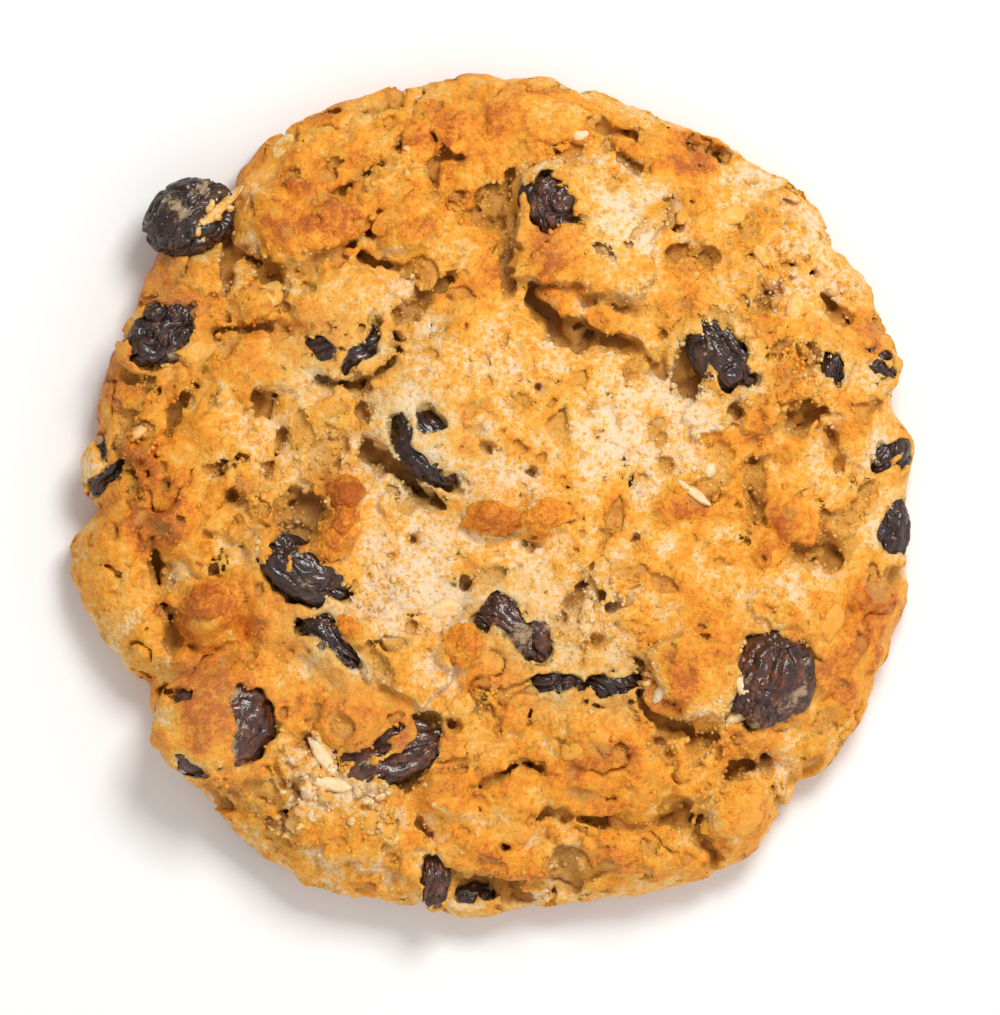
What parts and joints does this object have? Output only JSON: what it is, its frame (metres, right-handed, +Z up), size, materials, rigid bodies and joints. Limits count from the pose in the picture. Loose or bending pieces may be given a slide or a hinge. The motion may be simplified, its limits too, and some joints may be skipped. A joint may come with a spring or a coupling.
{
  "type": "oatmeal raisin cookie",
  "caption": "Thick round baked oat biscuit with an uneven domed top and raisins set into its top and rim, resting on a flat base.",
  "frame": {"origin": "centre of the cookie's outline, on the plane of its flat base", "axes": "+Z up out of the domed top, +Y towards the raised crust plate with a raisin beside it, +X to the right of that"},
  "size_m": [0.0921, 0.0922, 0.0172],
  "materials": {
    "dough": "matt, porous baked oat dough, pale yellow in the middle and golden to red-brown on its crust",
    "raisin": "wrinkled, half-glossy near-black skin with a dull sugary film in places"
  },
  "bodies": {
    "root": {"dough": "dough", "raisin_01": "raisin", "raisin_02": "raisin", "raisin_03": "raisin", "raisin_04": "raisin", "raisin_05": "raisin", "raisin_06": "raisin", "raisin_07": "raisin", "raisin_08": "raisin", "raisin_09": "raisin", "raisin_10": "raisin", "raisin_11": "raisin", "raisin_12": "raisin", "raisin_13": "raisin", "raisin_14": "raisin", "raisin_15": "raisin", "raisin_16": "raisin", "raisin_17": "raisin", "raisin_18": "raisin", "raisin_19": "raisin", "raisin_20": "raisin", "raisin_21": "raisin"}
  },
  "joints": []
}
